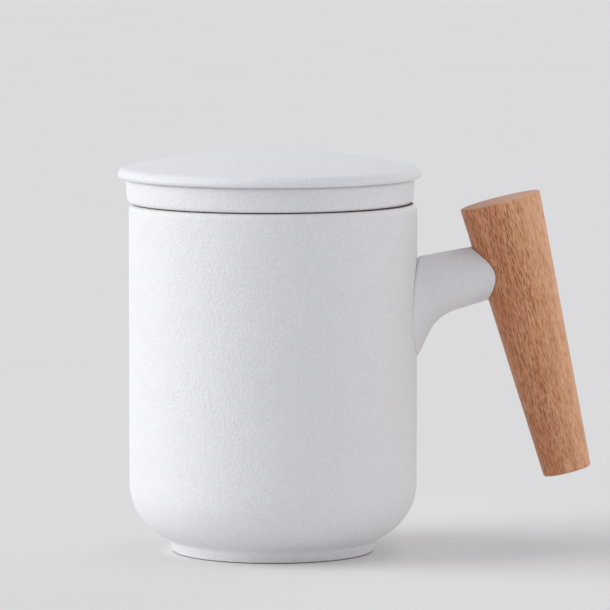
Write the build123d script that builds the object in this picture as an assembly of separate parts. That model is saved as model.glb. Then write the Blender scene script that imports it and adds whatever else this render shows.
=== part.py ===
"""Lidded tea mug: a stoneware cup with a drop-in strainer, a loose lid and a wooden grip on a side arm.

Millimetres, +Z up. The origin is the middle of the cup's foot, on the table, and the arm points to +X.
"""

from build123d import *
import os
from math import cos, radians, sin, sqrt, tan

# Cup: slip-cast, with a straight wall, a round belly and a small turned foot
cup_d = 85.0
cup_h = 103.3
cup_wall = 4.0
cup_floor = 4.4
lip_rounding = 2.1
lip_inner_rounding = 1.1
belly_rounding = 17.6
belly_slope = 31.5  # degrees above level, from the foot out to the belly
floor_rounding = 6.0
foot_h = 3.6
foot_inset = 11.55  # top of the foot, in from the cup's wall
foot_taper = 1.5  # the foot narrows by this much down to the table
foot_ring = 3.6
foot_recess = 2.4
foot_bevel = 0.4

# Strainer: a collar that sits on the lip, and a perforated basket that hangs in the cup
collar_h = 7.4
collar_proud = 0.15  # the collar's top stands out from the cup's wall
collar_draft = 0.6
collar_wall = 4.45
collar_heel = 1.45
collar_bevel = 0.4
mouth_depth = 3.7  # recess in the collar that takes the lid's flange
shoulder_rounding = 1.5
basket_gap = 1.3  # basket to cup wall, when both are on one axis
basket_wall = 2.8
basket_lift = 31.2  # the basket's underside, above the cup's floor
basket_draft = 1.2
basket_floor = 3.0
basket_heel = 8.5
strainer_shift = -0.8  # how far the loose strainer has slid sideways in the cup

# Perforations of the basket
hole_d = 2.2
floor_rings = 3
ring_holes = 6  # in the first ring, and this many more in each next one
ring_pitch = 6.3
wall_rows = 3
row_holes = 16
row_pitch = 6.0
first_row = 13.5  # lowest row of the wall, up from the basket's underside

# Lid: a low dome with a blunt leaning rim, and a flange that locates it in the collar
lid_shift = -0.95  # the loose lid has slid sideways too
lid_overhang = 2.5
rim_h = 2.95
rim_lean = 1.1
rim_shoulder = 2.5
rim_heel = 1.0
dome_rise = 4.6
lid_wall = 3.7
flange_gap = 0.8
flange_wall = 3.2
step_gap = 0.5  # the flange stops this far above the step in the collar
flange_bevel = 0.8

# Grip: a turned beech cone, wide end up, leaning away from the cup at its foot
grip_length = 82.8
grip_top_d = 24.1
grip_bottom_d = 14.3
grip_arris = 0.5
grip_tilt = 14.1
grip_reach = 29.2  # joint on the grip's axis, out from the cup's wall
joint_drop = 18.4  # joint on the grip's axis, below the cup's lip
joint_down = 19.8  # joint below the grip's upper end, along the grip

# Arm: cast apart, flared where it is luted to the cup, and coped to fit round the grip
arm_top = 2.4  # top of the arm at the cup's wall, above the joint
arm_top_slope = 10.3
throat_out = 5.9  # where the underside's two straights would meet, out from the cup's wall
throat_down = 15.1
throat_rounding = 12.5
underside_slope = 17.8
flare_slope = 65.0
cheek_out = 0.1  # where the two straights of each cheek would meet, out from the cup's wall
cheek_half_width = 9.7
cheek_rounding = 10.0
cheek_slope = 2.3
cheek_flare_slope = 50.0
root_depth = 3.0  # the blank runs this far into the cup before it is cut back to the wall
arm_sections = 24

# Hidden fixing: a steel stud, set in epoxy in the arm and in the grip
stud_d = 6.0
stud_in_arm = 12.5
stud_in_grip = 11.5
stud_chamfer = 0.5
socket_margin = 0.5  # each hole is this much deeper than its half of the stud
glue_film = 0.25

cup_r = cup_d / 2
bore_r = cup_r - cup_wall
collar_r = cup_r + collar_proud
mouth_r = collar_r - collar_wall
basket_r = bore_r - basket_gap
floor_z = foot_recess + cup_floor
basket_z = floor_z + basket_lift
collar_top = cup_h + collar_h
step_z = collar_top - mouth_depth
joint_x = cup_r + grip_reach
joint_z = cup_h - joint_drop
tilt = radians(grip_tilt)
joint = Vector(joint_x, 0, joint_z)
grip_plane = Plane(joint, x_dir=(0, 1, 0), z_dir=(-sin(tilt), 0, cos(tilt)))  # up the grip
stud_plane = Plane(joint, x_dir=(0, 1, 0), z_dir=(-cos(tilt), 0, -sin(tilt)))  # from the grip into the arm
grip_lean = (grip_top_d - grip_bottom_d) / 2 / grip_length
joint_r = grip_top_d / 2 - joint_down * grip_lean


def turned(outline, roundings, bevels):
    """Solid turned about Z from a closed outline of (radius, height), with corners rounded and bevelled."""
    profile = make_face(outline.edges())
    for ease, corners in ((fillet, roundings), (chamfer, bevels)):
        for corner, size in corners.items():
            profile = ease(profile.vertices().sort_by_distance(Vector(*corner))[0], size)
    return revolve(Plane.XZ * profile, Axis.Z)


def make_cup():
    """Cup with an even wall: the inside follows the outside down to a level floor."""
    slope = radians(belly_slope)
    foot_r = cup_r - foot_inset
    foot_out = (foot_r - foot_taper, 0)
    foot_in = (foot_r - foot_taper - foot_ring, 0)
    recess = (foot_in[0], foot_recess)
    foot_top = (foot_r, foot_h)
    belly = (cup_r, foot_h + foot_inset * tan(slope))
    lip_out, lip_in = (cup_r, cup_h), (bore_r, cup_h)
    # the inner belly lies one wall inside the outer one, so its corner is a little higher
    belly_in = (bore_r, belly[1] + cup_wall / cos(slope) - cup_wall * tan(slope))
    floor_edge = (bore_r - (belly_in[1] - floor_z) / tan(slope), floor_z)
    outline = Polyline(
        (0, foot_recess), recess, foot_in, foot_out, foot_top, belly,
        lip_out, lip_in, belly_in, floor_edge, (0, floor_z), close=True,
    )
    roundings = {
        belly: belly_rounding, lip_out: lip_rounding, lip_in: lip_inner_rounding,
        belly_in: belly_rounding - cup_wall, floor_edge: floor_rounding,
    }
    return turned(outline, roundings, {foot_in: foot_bevel, foot_out: foot_bevel})


def basket_holes():
    """Drills for the basket: rings through its floor and staggered rows through the foot of its wall."""
    floor_drill = Pos(0, 0, basket_z) * Cylinder(hole_d / 2, 4 * basket_floor)
    drills = [floor_drill]
    for ring in range(1, floor_rings + 1):
        drills += PolarLocations(ring * ring_pitch, ring * ring_holes) * floor_drill
    # long enough to pass through the wall all the way down its draft
    wall_drill = Cylinder(hole_d / 2, 4 * (basket_wall + basket_draft))
    for row in range(wall_rows):
        height = basket_z + first_row + row * row_pitch
        start = row % 2 * 180 / row_holes
        drills += [
            Pos(0, 0, height) * Rot(0, 0, start + turn * 360 / row_holes) * Pos(basket_r, 0, 0)
            * Rot(0, 90, 0) * wall_drill
            for turn in range(row_holes)
        ]
    return drills


def make_infuser():
    """Collar and basket in one casting. The collar's flat underside bears on the cup's lip."""
    heel = (basket_r - basket_draft, basket_z)
    neck = (basket_r, cup_h)
    collar_low = (collar_r - collar_draft, cup_h)
    collar_high = (collar_r, collar_top)
    mouth_high, mouth_low = (mouth_r, collar_top), (mouth_r, step_z)
    shoulder = (basket_r - basket_wall, step_z)
    heel_in = (heel[0] - basket_wall, basket_z + basket_floor)
    outline = Polyline(
        (0, basket_z), heel, neck, collar_low, collar_high, mouth_high, mouth_low,
        shoulder, heel_in, (0, heel_in[1]), close=True,
    )
    roundings = {
        heel: basket_heel, heel_in: basket_heel - basket_wall,
        collar_low: collar_heel, shoulder: shoulder_rounding,
    }
    blank = turned(outline, roundings, {collar_high: collar_bevel, mouth_high: collar_bevel})
    return Pos(strainer_shift, 0, 0) * (blank - basket_holes())


def make_lid():
    """Low dome over a blunt rim that leans in, hollow below, with a flange that drops into the collar."""
    rim_low = (collar_r + lid_overhang, collar_top)
    rim_high = (rim_low[0] - rim_lean, collar_top + rim_h)
    apex = (0, rim_high[1] + dome_rise)
    dome_r = (rim_high[0] ** 2 + dome_rise**2) / (2 * dome_rise)
    flange_r = mouth_r - flange_gap
    flange_root = (flange_r, collar_top)
    flange_out = (flange_r, step_z + step_gap)
    flange_in = (flange_r - flange_wall, step_z + step_gap)
    # the ceiling is one wall under the dome, on the same centre
    ceiling_r = dome_r - lid_wall
    ceiling_edge = (flange_in[0], apex[1] - dome_r + sqrt(ceiling_r**2 - flange_in[0] ** 2))
    ceiling = (0, apex[1] - lid_wall)
    outline = (
        RadiusArc(apex, rim_high, dome_r)
        + Polyline(rim_high, rim_low, flange_root, flange_out, flange_in, ceiling_edge)
        + RadiusArc(ceiling, ceiling_edge, ceiling_r)
        + Line(ceiling, apex)
    )
    roundings = {rim_high: rim_shoulder, rim_low: rim_heel}
    lid = turned(outline, roundings, {flange_out: flange_bevel, flange_in: flange_bevel})
    return Pos(lid_shift, 0, 0) * lid


def grip_cone(skin=0.0):
    """The grip's cone with square ends, or the same cone grown all round by a skin."""
    side_skin = skin * sqrt(1 + grip_lean**2)
    low = grip_plane.offset(joint_down - grip_length) * Circle(grip_bottom_d / 2 + side_skin)
    high = grip_plane.offset(joint_down) * Circle(grip_top_d / 2 + side_skin)
    return loft([low, high])


def flared(out, corner, near_slope, far_slope, rounding):
    """Height, this far out, of a steep line that turns into a gentle one round a filleted corner."""
    mean = radians((near_slope + far_slope) / 2)
    reach = rounding / cos(radians(near_slope - far_slope) / 2)
    centre = (corner[0] + reach * sin(mean), corner[1] - reach * cos(mean))
    if out < centre[0] - rounding * sin(radians(near_slope)):
        return corner[1] + (out - corner[0]) * tan(radians(near_slope))
    if out > centre[0] - rounding * sin(radians(far_slope)):
        return corner[1] + (out - corner[0]) * tan(radians(far_slope))
    return centre[1] + sqrt(rounding**2 - (out - centre[0]) ** 2)


def arm_section(out):
    """Upright oval section of the arm, this far out from the cup's wall."""
    top = arm_top + out * tan(radians(arm_top_slope))
    throat, cheek = (throat_out, -throat_down), (cheek_out, -cheek_half_width)
    underside = flared(out, throat, flare_slope, underside_slope, throat_rounding)
    half_width = -flared(out, cheek, cheek_flare_slope, cheek_slope, cheek_rounding)
    middle = joint_z + (top + underside) / 2
    face = Plane((cup_r + out, 0, middle), x_dir=(0, 0, 1), z_dir=(1, 0, 0))
    return face * Ellipse((top - underside) / 2, half_width)


def arm_blank():
    """The arm before it is cut to the cup and the grip, from inside the wall to the grip's axis."""
    step = (grip_reach + root_depth) / (arm_sections - 1)
    return loft([arm_section(n * step - root_depth) for n in range(arm_sections)])


def rod(diameter, length):
    """Round bar that stands on its plane."""
    return Cylinder(diameter / 2, length, align=(Align.CENTER, Align.CENTER, Align.MIN))


def stud_hole():
    """Bore for the stud and its glue, blind at both ends."""
    into_arm = joint_r + glue_film + stud_in_arm + socket_margin
    into_grip = joint_r - stud_in_grip - socket_margin
    return stud_plane.offset(into_grip) * rod(stud_d + 2 * glue_film, into_arm - into_grip)


def make_stud():
    """Plain stud, half in the arm and half in the grip, with both ends bevelled."""
    stud = rod(stud_d, stud_in_arm + glue_film + stud_in_grip)
    stud = chamfer(stud.edges().filter_by(GeomType.CIRCLE), stud_chamfer)
    return stud_plane.offset(joint_r - stud_in_grip) * stud


def make_grip():
    """Turned cone with its two arrises eased, bored for the stud."""
    cone = grip_cone()
    cone = fillet(cone.edges().filter_by(GeomType.CIRCLE), grip_arris)
    return cone - stud_hole()


def make_arm():
    """Arm cut back to the cup's wall at one end and coped to the grip, less the glue, at the other."""
    return arm_blank() - rod(cup_d, cup_h) - grip_cone(glue_film) - stud_hole()


def make_glue():
    """Epoxy: a film in the coped joint and a sleeve round the stud."""
    film = (arm_blank() & grip_cone(glue_film)) - grip_cone()
    return film + stud_hole() - make_stud()


pieces = {
    "mug_body": make_cup(),
    "handle_arm": make_arm(),
    "wooden_grip": make_grip(),
    "handle_stud": make_stud(),
    "epoxy_bond": make_glue(),
    "infuser": make_infuser(),
    "lid": make_lid(),
}

os.makedirs("parts", exist_ok=True)
for name, piece in pieces.items():
    piece.label = name
    export_step(piece, f"parts/{name}.step")
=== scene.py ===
"""Lidded tea mug with a drop-in strainer: the fine shape and the finish of each piece.

Every size is in metres, in the model's frame.
"""
from math import asin, atan2, ceil, cos, hypot, pi, radians, sin, sqrt, tan

import bpy
from mathutils import Matrix, Vector


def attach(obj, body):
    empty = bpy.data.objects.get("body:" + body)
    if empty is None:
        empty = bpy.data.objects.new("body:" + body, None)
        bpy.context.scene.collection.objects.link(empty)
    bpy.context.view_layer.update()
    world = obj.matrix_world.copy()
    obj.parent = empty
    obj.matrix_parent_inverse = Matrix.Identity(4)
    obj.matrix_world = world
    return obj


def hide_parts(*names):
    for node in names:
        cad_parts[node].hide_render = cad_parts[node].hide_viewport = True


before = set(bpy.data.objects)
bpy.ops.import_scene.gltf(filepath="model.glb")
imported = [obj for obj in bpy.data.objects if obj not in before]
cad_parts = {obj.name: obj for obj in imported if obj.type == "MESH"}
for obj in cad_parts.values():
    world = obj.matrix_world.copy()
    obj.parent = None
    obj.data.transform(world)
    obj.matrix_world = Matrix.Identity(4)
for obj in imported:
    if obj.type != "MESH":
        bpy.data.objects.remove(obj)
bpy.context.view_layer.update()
mm = 0.001


# Cup. Slip-cast stoneware with an even wall, a round belly and a turned foot. Its glaze is sandy
# and matte outside and smooth inside. The top of the lip, on which the strainer rests, and the ring
# that the cup stands on are wiped back to bare brown clay. That clay is painted dark, so that it is
# also painted shade in the crevice under the strainer and in the foot's contact line.
cup_r = 42.5 * mm
cup_h = 103.3 * mm
cup_wall = 4.0 * mm
cup_floor = 4.4 * mm
lip_rounding = 2.1 * mm
lip_inner_rounding = 1.1 * mm
belly_rounding = 17.6 * mm
belly_slope = radians(31.5)
floor_rounding = 6.0 * mm
foot_h = 3.6 * mm
foot_inset = 11.55 * mm
foot_taper = 1.5 * mm
foot_ring = 3.6 * mm
foot_recess = 2.4 * mm
foot_arris = 0.8 * mm
foot_crease = 1.8 * mm
ware_facets = 256
weld = 0.001 * mm  # points closer than this are made one
crisp = radians(38)  # edges sharper than this stay crisp
arc_step = radians(7.5)
dome_from = 50 * mm  # a rounding at least this large is a dome, with its own number of steps
dome_steps = 24
run_step = 2.0 * mm
# finishes, as gloss and bare clay; the wiped finish is sandy, with the glaze wiped back over the
# edge below, so that its dark clay there also paints the shade of the foot's contact line
sandy, smooth, bare, wiped_to_paint_contact_shade = (0.0, 0.0), (1.0, 0.0), (0.0, 1.0), (0.0, 0.56)


class Wire:
    """One output of a node. Arithmetic adds Math nodes, and add() adds any other node beside it."""

    def __init__(self, node, output=0):
        self.node = node
        self.socket = node.outputs[output]

    def add(self, kind, settings=None, inputs=None, output=0):
        """A node of this type: its settings are made first, then its inputs get values or wires."""
        tree = self.node.id_data
        node = tree.nodes.new(kind)
        for name, value in (settings or {}).items():
            setattr(node, name, value)
        for name, value in (inputs or {}).items():
            if isinstance(value, Wire):
                tree.links.new(value.socket, node.inputs[name])
            else:
                node.inputs[name].default_value = value
        return Wire(node, output) if node.outputs else node

    def also(self, output):
        """Another output of the same node."""
        return Wire(self.node, output)

    def maths(self, operation, *others):
        """A Math node on this wire and the others."""
        values = dict(enumerate([self, *others]))
        return self.add("ShaderNodeMath", {"operation": operation}, values)

    def __add__(self, other):
        return self.maths("ADD", other)

    __radd__ = __add__

    def __sub__(self, other):
        return self.maths("SUBTRACT", other)

    def __rsub__(self, other):
        return self.maths("MULTIPLY_ADD", -1.0, other)

    def __mul__(self, other):
        return self.maths("MULTIPLY", other)

    __rmul__ = __mul__

    def __truediv__(self, other):
        return self.maths("DIVIDE", other)

    def clipped(self, low, high):
        """0 up to low, 1 from high on, and smooth in between; low may be the larger."""
        ends = {"Value": self, "From Min": low, "From Max": high}
        return self.add("ShaderNodeMapRange", {"interpolation_type": "SMOOTHSTEP"}, ends)

    def blend(self, colour, other):
        """A colour between two colours, by this wire's value."""
        return self.add("ShaderNodeMix", {"data_type": "RGBA"}, {0: self, 6: colour, 7: other}, 2)

    def noise(self, size, detail=2.0):
        """Even noise on these coordinates, with features of about this size."""
        settings = {"Vector": self, "Scale": 1 / size, "Detail": detail}
        return self.add("ShaderNodeTexNoise", {}, settings)

    def bumps(self, depth, strength=1.0):
        """The normal of a surface with this relief, whose bumps are this deep."""
        relief = {"Strength": strength, "Distance": depth, "Height": self}
        return self.add("ShaderNodeBump", {}, relief)

    def round_axis(self, angle, height):
        """The place this far out from Z, at this angle and height."""
        sides = {"X": self * angle.maths("COSINE"), "Y": self * angle.maths("SINE"), "Z": height}
        return self.add("ShaderNodeCombineXYZ", {}, sides)


def new_tree(name, inputs):
    """A Geometry Nodes tree with these named inputs, and the wire of its incoming geometry."""
    tree = bpy.data.node_groups.new(name, "GeometryNodeTree")
    for title, kind in {"Geometry": "Geometry", **inputs}.items():
        tree.interface.new_socket(title, in_out="INPUT", socket_type="NodeSocket" + kind)
    tree.interface.new_socket("Geometry", in_out="OUTPUT", socket_type="NodeSocketGeometry")
    return tree, Wire(tree.nodes.new("NodeGroupInput"), "Geometry")


def end_tree(geometry, merge, material):
    """Ends a tree: its closest points are merged, and its faces get their material."""
    geometry = geometry.add(
        "GeometryNodeMergeByDistance", {}, {"Geometry": geometry, "Distance": merge}
    )
    geometry = geometry.add("GeometryNodeRealizeInstances", {}, {"Geometry": geometry})
    geometry = geometry.add(
        "GeometryNodeSetMaterial", {}, {"Geometry": geometry, "Material": material}
    )
    geometry.add("NodeGroupOutput", {}, {"Geometry": geometry})


def grow(name, start, tree, sizes):
    """A plain piece, made from a start mesh by a tree with these inputs."""
    piece = bpy.data.objects.new(name, start)
    bpy.context.scene.collection.objects.link(piece)
    modifier = piece.modifiers.new(tree.name, "NODES")
    modifier.node_group = tree
    for item in tree.interface.items_tree:
        if item.in_out == "INPUT" and item.name in sizes:
            modifier[item.identifier] = sizes[item.name]
    bpy.context.view_layer.update()
    grown = piece.evaluated_get(bpy.context.evaluated_depsgraph_get())
    mesh = bpy.data.meshes.new_from_object(grown)
    piece.modifiers.clear()
    piece.data = mesh
    mesh.name = name
    mesh.shade_smooth()
    mesh.set_sharp_from_angle(angle=crisp)
    return piece


def bend(before, corner, after, rounding):
    """Points of the arc that rounds a profile's corner, or the corner itself if it is sharp."""
    if not rounding:
        return [corner]
    arriving, leaving = (corner - before).normalized(), (after - corner).normalized()
    turn = atan2(arriving.x * leaving.y - arriving.y * leaving.x, arriving.dot(leaving))
    start = corner - rounding * tan(abs(turn) / 2) * arriving
    side = rounding if turn > 0 else -rounding
    centre = start + side * Vector((-arriving.y, arriving.x))
    steps = ceil(abs(turn) / arc_step) if rounding < dome_from else dome_steps
    turns = [Matrix.Rotation(turn * n / steps, 2) for n in range(steps + 1)]
    return [centre + turned @ (start - centre) for turned in turns]


def give_finishes(mesh, finishes):
    """Keeps each point's gloss and bare clay with the mesh."""
    for title, values in zip(("gloss", "bare"), zip(*finishes)):
        mesh.attributes.new(title, "FLOAT", "POINT").data.foreach_set("value", values)


def outline(name, corners, step=run_step):
    """A profile as a mesh of points.

    A corner is its radius, its height, its rounding and the finish of the run after it.
    """
    points, finishes = [], []
    for n, (r, z, rounding, finish) in enumerate(corners):
        before, after = corners[max(n - 1, 0)], corners[min(n + 1, len(corners) - 1)]
        arc = bend(Vector(before[:2]), Vector((r, z)), Vector(after[:2]), rounding)
        if points:
            start, parts = points[-1], max(1, ceil((arc[0] - points[-1]).length / step))
            points += [start.lerp(arc[0], k / parts) for k in range(1, parts)]
            finishes += [before[3]] * (parts - 1)
        points += arc
        blend = [k / max(1, len(arc) - 1) for k in range(len(arc))]
        finishes += [[a + (b - a) * t for a, b in zip(before[3], finish)] for t in blend]
    mesh = bpy.data.meshes.new(name)
    mesh.from_pydata([(p.x, 0, p.y) for p in points], [], [])
    give_finishes(mesh, finishes)
    return mesh


def turning_tree():
    """Turns a profile once round Z, as ware is turned on a wheel, and closes seam and poles."""
    tree, profile = new_tree("turn on the wheel", {"Facets": "Int", "Glaze": "Material"})
    facets = profile.also("Facets")
    rows = profile.add(
        "GeometryNodeAttributeDomainSize", {}, {"Geometry": profile}, "Point Count"
    )
    clay = profile.add("GeometryNodeMeshGrid", {}, {"Vertices X": rows, "Vertices Y": facets + 1})
    number = profile.add("GeometryNodeInputIndex")
    row = (number / (facets + 1)).maths("FLOOR")
    turn = (number - row * (facets + 1)) * (-2 * pi) / facets

    def on_profile(kind, value):
        """What the profile has at this row: its position or one of its finishes."""
        sample = {"Geometry": profile, "Value": value, "Index": row}
        return profile.add("GeometryNodeSampleIndex", {"data_type": kind}, sample)

    place = on_profile("FLOAT_VECTOR", profile.add("GeometryNodeInputPosition"))
    radius = profile.add("ShaderNodeSeparateXYZ", {}, {"Vector": place})
    turned = radius.round_axis(turn, radius.also("Z"))
    clay = profile.add("GeometryNodeSetPosition", {}, {"Geometry": clay, "Position": turned})
    for finish in ("gloss", "bare"):
        value = profile.add(
            "GeometryNodeInputNamedAttribute", {"data_type": "FLOAT"}, {"Name": finish}
        )
        kept = {"Geometry": clay, "Name": finish, "Value": on_profile("FLOAT", value)}
        clay = profile.add("GeometryNodeStoreNamedAttribute", {}, kept)
    end_tree(clay, weld, profile.also("Glaze"))
    return tree


def new_material(name):
    """A material with no nodes yet but its object coordinates, and their wire."""
    material = bpy.data.materials.new(name)
    material.use_nodes = True
    material.node_tree.nodes.clear()
    return material, Wire(material.node_tree.nodes.new("ShaderNodeTexCoord"), "Object")


def end_material(place, shine):
    """Ends a material: one plain surface with these values."""
    surface = place.add("ShaderNodeBsdfPrincipled", {}, shine)
    place.add("ShaderNodeOutputMaterial", {}, {"Surface": surface})


def sand_glaze():
    """White glaze: sandy, smooth where gloss is 1, and wiped off brown clay where bare is 1. The
    clay is painted dark, as painted shade in the narrow gaps where it shows.
    """
    material, place = new_material("sand_glaze")
    gloss = place.add("ShaderNodeAttribute", {"attribute_name": "gloss"}, output="Fac")
    bare_clay_and_painted_shade = place.add("ShaderNodeAttribute", {"attribute_name": "bare"}, output="Fac")
    # the clip also sets how wide the painted dark strip of shade in the gaps is
    bare_clay_and_painted_shade = bare_clay_and_painted_shade.clipped(0.62, 0.78)  # narrows the glaze's edge within a corner's blend
    matte = 1 - gloss
    sand, grit, pooling = place.noise(0.65 * mm), place.noise(0.3 * mm), place.noise(22 * mm)
    # iron specks: one small dot in a few of the cells
    cells = {"Vector": place, "Scale": 1 / (11 * mm)}
    cell = place.add("ShaderNodeTexVoronoi", {}, cells, "Distance")
    lot = place.add("ShaderNodeSeparateColor", {}, {"Color": cell.also("Color")})
    speck = cell.clipped(0.022, 0.014) * lot.clipped(0.90, 0.91) * matte
    tone = ((sand - 0.5) * 1.3 + (grit - 0.5) * 2.8) * matte + (pooling - 0.5) * 0.25 + 0.5
    white = tone.blend((0.808, 0.808, 0.828, 1), (0.898, 0.898, 0.918, 1))
    # bare clay, painted dark brown: real unglazed clay, and painted shade in the narrow gaps where
    # it shows
    clay = grit.blend((0.11, 0.062, 0.048, 1), (0.19, 0.112, 0.085, 1))
    colour = bare_clay_and_painted_shade.blend(white, clay)
    colour = (speck * 0.7).blend(colour, (0.17, 0.12, 0.09, 1))
    relief = (sand * 0.6 + grit * 0.4) * (1 - gloss * 0.93) + pooling * 0.6
    shine = {
        "Base Color": colour,
        "Roughness": 0.62 - gloss * 0.46 + bare_clay_and_painted_shade * 0.25 + (grit - 0.5) * 0.12 * matte,
        "Normal": relief.bumps(0.42 * mm),
        "IOR": 1.5,
    }
    end_material(place, shine)
    return material


foot_r = cup_r - foot_inset
foot_out = foot_r - foot_taper
foot_in = foot_out - foot_ring
floor_z = foot_recess + cup_floor
bore_r = cup_r - cup_wall
belly_z = foot_h + foot_inset * tan(belly_slope)
belly_in_z = belly_z + cup_wall / cos(belly_slope) - cup_wall * tan(belly_slope)
cup_corners = [
    (0, foot_recess, 0, smooth),
    (foot_in, foot_recess, 2 * foot_arris, bare),
    (foot_in, 0, foot_arris, bare),
    # the foot's outer arris is dark bare clay: wiped-back glaze, and painted shade for the contact
    # line
    (foot_out, 0, foot_arris, wiped_to_paint_contact_shade),
    (foot_r, foot_h, foot_crease, sandy),
    (cup_r, belly_z, belly_rounding, sandy),
    # the lip's top is bare clay, painted dark as painted shade in the crevice under the strainer's
    # collar
    (cup_r, cup_h, lip_rounding, bare),
    (bore_r, cup_h, lip_inner_rounding, smooth),
    (bore_r, belly_in_z, belly_rounding - cup_wall, smooth),
    (bore_r - (belly_in_z - floor_z) / tan(belly_slope), floor_z, floor_rounding, smooth),
    (0, floor_z, 0, smooth),
]
wheel = turning_tree()
glaze = sand_glaze()
ware = {"Facets": ware_facets, "Glaze": glaze}
cup = grow("mug_cup", outline("cup_profile", cup_corners), wheel, ware)
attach(cup, "mug")
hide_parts("mug_body")


# Arm. Cast apart in the same clay and luted to the cup, where it flares out and leaves a fine
# crease. Its far end is coped to sit round the grip, with a blind hole for the stud.
grip_tilt = radians(14.1)
grip_reach = 29.2 * mm
joint = Vector((cup_r + grip_reach, 0, cup_h - 18.4 * mm))
up_grip = Vector((-sin(grip_tilt), 0, cos(grip_tilt)))
into_arm = Vector((-cos(grip_tilt), 0, -sin(grip_tilt)))
sideways = Vector((0, 1, 0))
grip_top_r = 12.05 * mm
grip_length = 82.8 * mm
grip_lean = 4.9 * mm / grip_length
joint_down = 19.8 * mm
joint_r = grip_top_r - joint_down * grip_lean
glue_film = 0.25 * mm
stud_r = 3.0 * mm
stud_in_arm = 12.5 * mm
stud_in_grip = 11.5 * mm
socket_margin = 0.5 * mm
arm_top = 2.4 * mm
arm_top_slope = radians(10.3)
throat = (5.9 * mm, -15.1 * mm)
throat_slopes = (radians(65.0), radians(17.8))
throat_rounding = 12.5 * mm
cheek = (0.1 * mm, -9.7 * mm)
cheek_slopes = (radians(50.0), radians(2.3))
cheek_rounding = 10.0 * mm
root_depth = 3.0 * mm
root_arris = 1.1 * mm
cope_arris = 0.12 * mm
arm_turns = 144
arm_rows = 40
arris_rows = [0, 0.06, 0.2, 0.45, 1.0]  # shares of an arris, closest where it bends most
face_rows = [0.2, 0.4, 0.6, 0.8]
halvings = 30


def flared(out, corner, slopes, rounding):
    """Height of a steep line that turns into a gentle one round a corner, this far out."""
    near, far = slopes
    reach = rounding / cos((near - far) / 2)
    centre = (corner[0] + reach * sin((near + far) / 2), corner[1] - reach * cos((near + far) / 2))
    if out < centre[0] - rounding * sin(near):
        return corner[1] + (out - corner[0]) * tan(near)
    if out > centre[0] - rounding * sin(far):
        return corner[1] + (out - corner[0]) * tan(far)
    return centre[1] + sqrt(rounding**2 - (out - centre[0]) ** 2)


def arm_skin(out, turn, inset=0.0):
    """Point of the arm's oval section, this far out from the cup and this far round its top."""
    top = arm_top + out * tan(arm_top_slope)
    underside = flared(out, throat, throat_slopes, throat_rounding)
    half_width = -flared(out, cheek, cheek_slopes, cheek_rounding)
    half_height = (top - underside) / 2
    height = joint.z + (top + underside) / 2 + (half_height - inset) * cos(turn)
    return Vector((cup_r + out, (half_width - inset) * sin(turn), height))


def last_out(turn, holds, low, high):
    """How far out, between low and high, the arm's skin still holds, by halving the stretch."""
    for _ in range(halvings):
        middle = (low + high) / 2
        if holds(arm_skin(middle, turn)):
            low = middle
        else:
            high = middle
    return low


def on_grip(along, across, skin=glue_film):
    """Point over the grip's near side, along and across from the joint, this far off the wood."""
    radius = grip_top_r - (joint_down - along) * grip_lean + skin
    return joint + along * up_grip + sqrt(radius**2 - across**2) * into_arm + across * sideways


def clear_of_grip(point):
    """Whether a point lies outside the grip and its film of glue."""
    offset = point - joint
    along = offset.dot(up_grip)
    radius = grip_top_r - (joint_down - along) * grip_lean + glue_film
    return (offset - along * up_grip).length > radius


def tucked(distance, arris):
    """How far the skin tucks in at this distance from an end with a rounded arris."""
    return 0.0 if distance >= arris else arris - sqrt(arris**2 - (arris - distance) ** 2)


def arm_rings():
    """Rings of points from the middle of the arm's root to the bottom of its stud hole."""
    turns = [2 * pi * n / arm_turns for n in range(arm_turns)]
    roots = [last_out(t, lambda p: hypot(p.x, p.y) < cup_r, -root_depth, root_depth) for t in turns]
    copes = [last_out(t, clear_of_grip, grip_reach - 2 * grip_top_r, grip_reach) for t in turns]
    body = []
    for share in arris_rows[:-1]:
        out = share * root_arris
        inset = tucked(out, root_arris)
        body.append([arm_skin(root + out, t, inset) for root, t in zip(roots, turns)])
    starts, ends = [root + root_arris for root in roots], [cope - cope_arris for cope in copes]
    for n in range(arm_rows + 1):
        outs = [a + (b - a) * n / arm_rows for a, b in zip(starts, ends)]
        body.append([arm_skin(out, t) for out, t in zip(outs, turns)])
    for share in arris_rows[-2::-1]:
        back = share * cope_arris
        inset = tucked(back, cope_arris)
        body.append([arm_skin(cope - back, t, inset) for cope, t in zip(copes, turns)])
    # the root's face lies on the cup's wall
    middle = Vector((0, 0, (body[0][0].z + body[0][arm_turns // 2].z) / 2))
    face = []
    for share in [0, *face_rows]:
        spots = [middle.lerp(p, share) for p in body[0]]
        face.append([Vector((sqrt(cup_r**2 - p.y**2), p.y, p.z)) for p in spots])
    # the coped face follows the grip in to the stud's hole, which ends in a level bottom
    hole_r = stud_r + glue_film
    rim = [Vector((hole_r * cos(t), hole_r * sin(t))) for t in turns]
    edge = [Vector(((p - joint).dot(up_grip), p.y)) for p in body[-1]]
    end = []
    for share in [*face_rows, 1.0]:
        end.append([on_grip(*a.lerp(b, share)) for a, b in zip(edge, rim)])
    bottom = joint + (joint_r + glue_film + stud_in_arm + socket_margin) * into_arm
    for share in (1.0, 0.5, 0.0):
        end.append([bottom + share * (s.x * up_grip + s.y * sideways) for s in rim])
    finished = ((face, bare), (body, sandy), (end, bare))
    return [(ring, finish) for rings, finish in finished for ring in rings]


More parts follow.
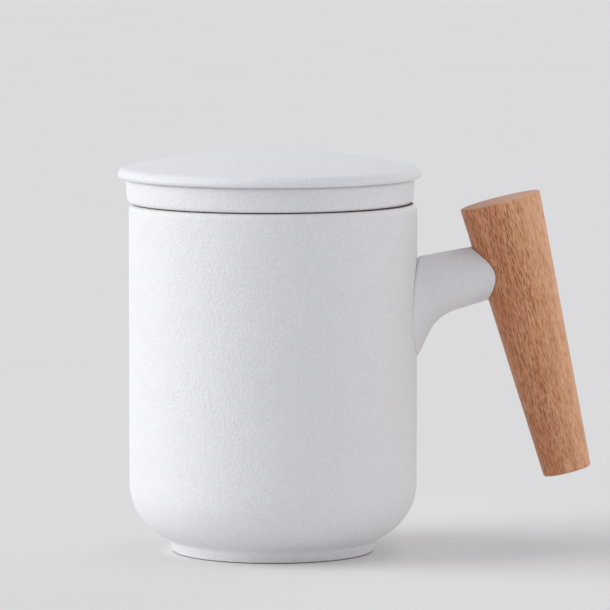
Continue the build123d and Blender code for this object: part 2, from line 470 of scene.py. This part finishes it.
def skin(name, rings, material):
    """A closed piece of rings and their finishes. The first and last rings are single spots."""
    vertices, finishes = [rings[0][0][0]], [rings[0][1]]
    for ring, finish in rings[1:-1]:
        vertices += ring
        finishes += [finish] * len(ring)
    vertices.append(rings[-1][0][0])
    finishes.append(rings[-1][1])
    count, last = len(rings[1][0]), len(vertices) - 1
    faces = []
    for row in range(len(rings) - 3):
        for n in range(count):
            a, b = 1 + row * count + n, 1 + row * count + (n + 1) % count
            faces.append((a, a + count, b + count, b))
    faces += [(0, 1 + n, 1 + (n + 1) % count) for n in range(count)]
    faces += [(last, last - count + (n + 1) % count, last - count + n) for n in range(count)]
    mesh = bpy.data.meshes.new(name)
    mesh.from_pydata(vertices, [], faces)
    give_finishes(mesh, finishes)
    mesh.shade_smooth()
    mesh.set_sharp_from_angle(angle=crisp)
    mesh.materials.append(material)
    piece = bpy.data.objects.new(name, mesh)
    bpy.context.scene.collection.objects.link(piece)
    return piece


arm = skin("mug_arm", arm_rings(), glaze)
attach(arm, "mug")
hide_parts("handle_arm")


# Stud. A stainless threaded rod that ties the grip to the arm, hidden inside both and glued in. It
# is cut to length from longer rod, and both of its ends are bevelled.
thread_pitch = 1.0 * mm
thread_depth = 0.61 * mm
stud_bevel = 0.5 * mm
thread_steps = 10
stud_sides = 36


def thread_tree():
    """A threaded rod on the origin: a sheet of points wound round Z, cut by a rising groove."""
    sizes = {title: "Float" for title in ("Radius", "Length", "Pitch", "Depth", "Bevel")}
    counts = {"Steps": "Int", "Sides": "Int"}
    tree, start = new_tree("cut a thread", {**sizes, **counts, "Steel": "Material"})
    radius, length, pitch, depth, bevel = (start.also(title) for title in sizes)
    steps, sides = (start.also(title) for title in counts)
    rows = (length / pitch * steps).maths("CEIL")
    bar = start.add("GeometryNodeMeshGrid", {}, {"Vertices X": rows + 3, "Vertices Y": sides + 1})
    number = start.add("GeometryNodeInputIndex")
    row = (number / (sides + 1)).maths("FLOOR")
    turn = (number - row * (sides + 1)) / sides
    height = ((row - 1) / rows).maths("MAXIMUM", 0).maths("MINIMUM", 1) * length
    groove = ((height / pitch - turn).maths("FRACT") - 0.5).maths("ABSOLUTE") * 2
    to_end = height.maths("MINIMUM", length - height)
    reach = (radius - groove * depth).maths("MINIMUM", radius - bevel + to_end)
    closed = row.maths("COMPARE", 0, 0.5) + row.maths("COMPARE", rows + 2, 0.5)
    wound = (reach * (1 - closed)).round_axis(turn * (-2 * pi), height)
    bar = start.add("GeometryNodeSetPosition", {}, {"Geometry": bar, "Position": wound})
    end_tree(bar, weld, start.also("Steel"))
    return tree


def thread_steel():
    """Rolled stainless: bright, with fine marks along the turning direction and a dull film."""
    material, place = new_material("thread_steel")
    turning = place.add("ShaderNodeMapping", {}, {"Vector": place, "Scale": (1, 1, 12)})
    marks = turning.noise(1.5 * mm, 3.0)
    film = place.noise(6 * mm)
    shine = {
        "Base Color": film.blend((0.50, 0.50, 0.49, 1), (0.64, 0.63, 0.61, 1)),
        "Roughness": 0.26 + marks * 0.2,
        "Metallic": 1.0,
        "Normal": marks.bumps(0.01 * mm, 0.4),
    }
    end_material(place, shine)
    return material


thread_sizes = {
    "Radius": stud_r,
    "Length": stud_in_arm + glue_film + stud_in_grip,
    "Pitch": thread_pitch,
    "Depth": thread_depth,
    "Bevel": stud_bevel,
    "Steps": thread_steps,
    "Sides": stud_sides,
    "Steel": thread_steel(),
}
stud = grow("threaded_stud", bpy.data.meshes.new("stud_start"), thread_tree(), thread_sizes)
stud_end = Matrix.Translation(joint + (joint_r - stud_in_grip) * into_arm)
stud.data.transform(stud_end @ into_arm.to_track_quat("Z", "Y").to_matrix().to_4x4())
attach(stud, "mug")
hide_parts("handle_stud")


# Glue. Clear epoxy, darkened by wood dust: a thin brown line round the coped end of the arm, and a
# sleeve round the stud. The model's own shape is right as it is, so it only gets a finish.
def stained_epoxy():
    """Glossy brown resin with cloudy patches of dust."""
    material, place = new_material("stained_epoxy")
    dust = place.noise(1.2 * mm, 4.0)
    shine = {
        "Base Color": dust.blend((0.30, 0.15, 0.085, 1), (0.44, 0.24, 0.14, 1)),
        "Roughness": 0.3 + dust * 0.25,
        "Normal": dust.bumps(0.05 * mm, 0.3),
    }
    end_material(place, shine)
    return material


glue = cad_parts["epoxy_bond"]
glue.data.materials.clear()
glue.data.materials.append(stained_epoxy())


# Grip. Beech turned to a straight cone with lightly eased ends, sanded and oiled. Its rays point at
# the heart of the tree, far outside the wood, and show as short dark flecks on the two sides that
# they run out of. The model's own shape is right as it is, so it only gets a finish.
ring_width = 3.4 * mm
pith = Vector((38.0, 46.0)) * mm
# sizes of the patterns round the pith, out from it and along the grain
fleck_size = Vector((0.30, 7.0, 3.0)) * mm
stripe_size = Vector((0.9, 2.0, 40)) * mm
streak_size = Vector((0.36, 2.0, 6.5)) * mm
pore_size = Vector((0.22, 0.22, 2.2)) * mm
# sizes of the patterns across, into and along the grip
sway_size = Vector((14, 14, 45)) * mm
cloud_size = Vector((9, 9, 26)) * mm


def oiled_beech():
    """Beech: growth rings round a far pith, ray flecks, pores, and end grain without flecks."""
    material, place = new_material("oiled_beech")
    grain = place.add(
        "ShaderNodeMapping",
        {"vector_type": "TEXTURE"},
        {"Vector": place, "Location": joint, "Rotation": (0, -grip_tilt, 0)},
    )
    spot = place.add("ShaderNodeSeparateXYZ", {}, {"Vector": grain})
    across, deep, along = spot, spot.also("Y"), spot.also("Z")

    def stretched(start, size, kind="ShaderNodeTexNoise", output=0, **more):
        """A pattern whose features have these sizes along the three coordinates."""
        scale = {"Vector": start, "Scale": [1 / side for side in size]}
        scaled = place.add("ShaderNodeMapping", {}, scale)
        return place.add(kind, {}, {"Vector": scaled, "Scale": 1.0, **more}, output)

    # the rays are upright sheets in polar coordinates round the pith
    to_pith = pith.x - across, pith.y - deep
    radius = (to_pith[0] * to_pith[0] + to_pith[1] * to_pith[1]).maths("SQRT")
    turn = to_pith[1].maths("ARCTAN2", to_pith[0]) * pith.length
    polar = place.add("ShaderNodeCombineXYZ", {}, {"X": turn, "Y": radius, "Z": along})
    cell = stretched(polar, fleck_size, "ShaderNodeTexVoronoi", "Distance")
    lot = place.add("ShaderNodeSeparateColor", {}, {"Color": cell.also("Color")})
    facing = (across * pith.x + deep * pith.y) / (pith.length * grip_top_r)
    facing = (facing * facing).clipped(0.0, 0.45)
    fleck = cell.clipped(0.50, 0.24) * lot.clipped(0.05, 0.50) * (facing * 0.88 + 0.12)

    sway = stretched(grain, sway_size)
    season = (radius / ring_width + sway * 2.4).maths("FRACT")
    latewood = season.clipped(0.35, 0.93) * season.clipped(1.0, 0.95)
    stripes = stretched(polar, stripe_size, Detail=3.0)
    streaks = stretched(polar, streak_size)
    clouds = stretched(grain, cloud_size, Detail=2.0)
    pores = stretched(polar, pore_size, Detail=1.0).clipped(0.50, 0.64)
    from_middle = (along + (grip_length / 2 - joint_down)).maths("ABSOLUTE")
    end = from_middle.clipped(grip_length / 2 - 0.12 * mm, grip_length / 2 - 0.02 * mm)
    # painted light and shade: the wood is darker on the side facing the cup and lighter towards +X
    painted_light_across = across.clipped(-8 * mm, 8 * mm)
    tone = 0.30 + painted_light_across * 0.5 - latewood * 0.16 - (pores - 0.3) * 0.5
    tone = tone + (stripes - 0.5) * 0.5 + (streaks - 0.5) * 1.1 + (clouds - 0.5) * 0.5
    colour = tone.blend((0.50, 0.165, 0.055, 1), (0.815, 0.435, 0.23, 1))
    colour = (end * 0.75).blend(colour, (0.56, 0.31, 0.205, 1))
    colour = (fleck * (1 - end * 0.6) * 0.9).blend(colour, (0.27, 0.088, 0.030, 1))
    relief = 0.5 - fleck * 0.5 - pores * 0.5 + streaks * 0.4
    shine = {
        "Base Color": colour,
        "Roughness": 0.46 + fleck * 0.15 + (stripes - 0.5) * 0.15,
        "Normal": relief.bumps(0.03 * mm, 0.7),
    }
    end_material(place, shine)
    return material


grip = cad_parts["wooden_grip"]
grip.data.materials.clear()
grip.data.materials.append(oiled_beech())


# Strainer. A collar that rests on the cup's lip and a perforated basket, cast in one piece of the
# same clay. It is loose, and has slid a little to one side. The ring under its collar, on which it
# was fired, is bare clay, painted dark as painted shade in the crevice between collar and lip.
collar_top = cup_h + 7.4 * mm
collar_r = cup_r + 0.15 * mm
collar_draft = 0.6 * mm
collar_heel = 1.45 * mm
collar_arris = 0.4 * mm
seat_arris = 1.2 * mm
mouth_r = collar_r - 4.45 * mm
step_z = collar_top - 3.7 * mm
shoulder_rounding = 1.5 * mm
basket_r = bore_r - 1.3 * mm
basket_wall = 2.8 * mm
basket_z = floor_z + 31.2 * mm
basket_draft = 1.2 * mm
basket_floor = 3.0 * mm
basket_heel = 8.5 * mm
strainer_shift = Matrix.Translation((-0.8 * mm, 0, 0))
hole_r = 1.1 * mm
hole_ease = 0.3 * mm
hole_sides = 20
hole_overshoot = 1.5 * mm
drill_step = 5.0 * mm  # longer than the runs of the drill's profile, which stay whole
burr = 0.02 * mm  # edges that drilling leaves shorter than this are closed up
floor_rings = 3
ring_holes = 6
ring_pitch = 6.3 * mm
wall_rows = 3
row_holes = 16
row_pitch = 6.0 * mm
first_row = basket_z + 13.5 * mm
mid_wall_r = 35.5 * mm


def perforating_tree():
    """Cuts eased holes through a basket: rings in its floor, and staggered rows in its wall."""
    titles = ("Ring Pitch", "Floor Height", "Wall Radius", "First Row", "Row Pitch")
    sizes = {title: "Float" for title in titles}
    counts = {title: "Int" for title in ("Rings", "Ring Holes", "Rows", "Row Holes")}
    tree, blank = new_tree("perforate", {**sizes, **counts, "Drill": "Object", "Glaze": "Material"})
    ring_pitch, floor_height, wall_radius, first_row, row_pitch = (blank.also(t) for t in sizes)
    rings, ring_holes, rows, row_holes = (blank.also(t) for t in counts)
    drill = blank.add("GeometryNodeObjectInfo", {}, {"Object": blank.also("Drill")}, "Geometry")
    number = blank.add("GeometryNodeInputIndex")

    def drills(count, place, rotation):
        """A drill at each of this many places, turned to suit."""
        points = blank.add("GeometryNodePoints", {}, {"Count": count, "Position": place})
        placed = {"Points": points, "Instance": drill, "Rotation": rotation}
        return blank.add("GeometryNodeInstanceOnPoints", {}, placed)

    # hole 0 is the middle one; ring n ends at hole number ring_holes * n * (n + 1) / 2
    ring = (((number * 8 / ring_holes + 1).maths("SQRT") - 1) / 2).maths("CEIL")
    in_ring = number - 1 - ring * (ring - 1) / 2 * ring_holes
    angle = in_ring * (2 * pi) / (ring * ring_holes).maths("MAXIMUM", 1)
    floor_count = rings * (rings + 1) / 2 * ring_holes + 1
    place = (ring * ring_pitch).round_axis(angle, floor_height)
    in_floor = drills(floor_count, place, (0, 0, 0))
    row = (number / row_holes).maths("FLOOR")
    stagger = row.maths("MODULO", 2) / 2
    angle = (number - row * row_holes + stagger) * (2 * pi) / row_holes
    facing = blank.add("ShaderNodeCombineXYZ", {}, {"Y": pi / 2, "Z": angle})
    place = wall_radius.round_axis(angle, first_row + row * row_pitch)
    in_wall = drills(rows * row_holes, place, facing)
    both = blank.add("GeometryNodeJoinGeometry", {}, {"Geometry": in_floor})
    tree.links.new(in_wall.socket, both.node.inputs["Geometry"])
    both = blank.add("GeometryNodeRealizeInstances", {}, {"Geometry": both})
    cutting = {"operation": "DIFFERENCE", "solver": "EXACT"}
    cut = blank.add("GeometryNodeMeshBoolean", cutting, {"Mesh 1": blank})
    tree.links.new(both.socket, cut.node.inputs["Mesh 2"])
    end_tree(cut, burr, blank.also("Glaze"))
    return tree


basket_low = basket_r - basket_draft
strainer_corners = [
    (0, basket_z, 0, smooth),
    (basket_low, basket_z, basket_heel, smooth),
    # the collar's underside is bare clay, painted dark as painted shade in the crevice on the cup's
    # lip
    (basket_r, cup_h, collar_arris, bare),
    (collar_r - collar_draft, cup_h, collar_heel, sandy),
    (collar_r, collar_top, seat_arris, smooth),
    (mouth_r, collar_top, collar_arris, smooth),
    (mouth_r, step_z, collar_arris, smooth),
    (basket_r - basket_wall, step_z, shoulder_rounding, smooth),
    (basket_low - basket_wall, basket_z + basket_floor, basket_heel - basket_wall, smooth),
    (0, basket_z + basket_floor, 0, smooth),
]
# the drill is widest beyond the clay, so that it eases both ends of its hole
half_drill = basket_floor / 2
drill_corners = [
    (0, -half_drill - hole_overshoot, 0, smooth),
    (hole_r + hole_ease, -half_drill - hole_overshoot, 0, smooth),
    (hole_r + hole_ease, -half_drill, 0, smooth),
    (hole_r, -half_drill + hole_ease, 0, smooth),
    (hole_r, half_drill - hole_ease, 0, smooth),
    (hole_r + hole_ease, half_drill, 0, smooth),
    (hole_r + hole_ease, half_drill + hole_overshoot, 0, smooth),
    (0, half_drill + hole_overshoot, 0, smooth),
]
drill_profile = outline("drill_profile", drill_corners, drill_step)
drill = grow("drill", drill_profile, wheel, {"Facets": hole_sides, "Glaze": glaze})
blank = grow("strainer_blank", outline("strainer_profile", strainer_corners), wheel, ware)
perforation = {
    "Rings": floor_rings,
    "Ring Holes": ring_holes,
    "Ring Pitch": ring_pitch,
    "Floor Height": basket_z + basket_floor / 2,
    "Rows": wall_rows,
    "Row Holes": row_holes,
    "Row Pitch": row_pitch,
    "First Row": first_row,
    "Wall Radius": mid_wall_r,
    "Drill": drill,
    "Glaze": glaze,
}
strainer = grow("strainer", blank.data, perforating_tree(), perforation)
bpy.data.objects.remove(drill)
bpy.data.objects.remove(blank)
strainer.data.transform(strainer_shift)
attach(strainer, "infuser")
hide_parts("infuser")


# Lid. A low dome over a blunt rim that leans in, hollow underneath, with a flange that drops into
# the strainer's collar. The flange's lower edge, on which the lid was fired, is bare clay.
rim_r = collar_r + 2.5 * mm
rim_h = 2.95 * mm
rim_lean = 1.1 * mm
rim_shoulder = 2.5 * mm
rim_heel = 1.0 * mm
dome_rise = 4.6 * mm
lid_wall = 3.7 * mm
flange_r = mouth_r - 0.8 * mm
flange_wall = 3.2 * mm
flange_z = step_z + 0.5 * mm
flange_arris = 0.8 * mm
flange_crease = 0.3 * mm
ceiling_crease = 0.7 * mm
lid_shift = Matrix.Translation((-0.95 * mm, 0, 0))
shoulder_r = rim_r - rim_lean
shoulder_z = collar_top + rim_h
apex_z = shoulder_z + dome_rise
dome_r = (shoulder_r**2 + dome_rise**2) / (2 * dome_rise)
ceiling_r = dome_r - lid_wall
flange_in = flange_r - flange_wall


def dome_corner(edge_r, sphere_r):
    """Radius at which a sphere's level tangent at its top meets its tangent at this edge."""
    return sphere_r * tan(asin(edge_r / sphere_r) / 2)


ceiling_z = apex_z - lid_wall
ceiling_edge_z = ceiling_z - ceiling_r + sqrt(ceiling_r**2 - flange_in**2)
# each dome ends just short of its edge, which leaves room for the edge's own rounding
dome_share, ceiling_share = 0.92, 0.94
lid_corners = [
    (0, ceiling_z, 0, smooth),
    (dome_corner(flange_in, ceiling_r), ceiling_z, ceiling_share * ceiling_r, smooth),
    (flange_in, ceiling_edge_z, ceiling_crease, smooth),
    (flange_in, flange_z, flange_arris, bare),
    (flange_r, flange_z, flange_arris, smooth),
    (flange_r, collar_top, flange_crease, smooth),
    (rim_r, collar_top, rim_heel, sandy),
    (shoulder_r, shoulder_z, rim_shoulder, sandy),
    (dome_corner(shoulder_r, dome_r), apex_z, dome_share * dome_r, sandy),
    (0, apex_z, 0, sandy),
]
lid = grow("mug_lid", outline("lid_profile", lid_corners), wheel, ware)
lid.data.transform(lid_shift)
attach(lid, "lid")
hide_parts("lid")


# Table. A plain pale matte top under the mug and far around it. It isn't part of the mug, and lies
# a hair below the foot, so that no two faces share a place.
table_size = 12.0
table_gap = 0.01 * mm
patches = 9.0  # across a metre


def table_paint():
    """Pale matte paint, very slightly uneven."""
    material, place = new_material("table_paint")
    uneven = place.noise(1 / patches)
    shine = {
        "Base Color": uneven.blend((0.800, 0.796, 0.788, 1), (0.830, 0.826, 0.818, 1)),
        "Roughness": 0.8 + uneven * 0.2,
        "Specular IOR Level": 0.0,
    }
    end_material(place, shine)
    return material


half = table_size / 2
table_mesh = bpy.data.meshes.new("table")
table_corners = [(-half, -half), (half, -half), (half, half), (-half, half)]
table_mesh.from_pydata([(x, y, -table_gap) for x, y in table_corners], [], [(0, 1, 2, 3)])
table_mesh.materials.append(table_paint())
table = bpy.data.objects.new("table", table_mesh)
bpy.context.scene.collection.objects.link(table)


# Light. A broad low key from the left, like a tall window down to the table, a wide weak fill from
# the right, a little light from behind, and an even, slightly cool room.
room_tint = (0.94, 0.945, 1.0, 1)
room_strength = 0.486


def window(name, azimuth, elevation, strength, spread):
    """Soft light from one side, the same everywhere, with azimuths from the front towards +X."""
    lamp = bpy.data.lights.new(name, "SUN")
    lamp.energy = strength
    lamp.angle = radians(spread)
    source = bpy.data.objects.new(name, lamp)
    turn, rise = radians(azimuth), radians(elevation)
    towards = Vector((sin(turn) * cos(rise), -cos(turn) * cos(rise), sin(rise)))
    source.rotation_euler = towards.to_track_quat("Z", "Y").to_euler()
    bpy.context.scene.collection.objects.link(source)


window("key", -85, 25, 1.47, 50)
window("low key", -85, 10, 0.66, 36)
window("fill", 90, 35, 0.70, 110)
window("low fill", 90, 10, 0.24, 36)
window("back", 150, 25, 0.23, 50)
room = bpy.data.worlds.new("room")
room.use_nodes = True
air = room.node_tree.nodes["Background"]
air.inputs["Color"].default_value = room_tint
air.inputs["Strength"].default_value = room_strength
bpy.context.scene.world = room


# Camera. A long lens in front of the mug and a little above the table, looking slightly down. The
# lens and the sensor are in millimetres.
camera_place = (9.44 * mm, -1668 * mm, 231.5 * mm)
camera_dip = radians(5.43)
camera = bpy.data.objects.new("camera", bpy.data.cameras.new("camera"))
camera.data.lens = 335.0
camera.data.sensor_width = 36.0
camera.data.clip_end = 100.0
camera.location = camera_place
camera.rotation_euler = (pi / 2 - camera_dip, 0, 0)
bpy.context.scene.collection.objects.link(camera)
bpy.context.scene.camera = camera
bpy.context.scene.view_settings.view_transform = "Standard"
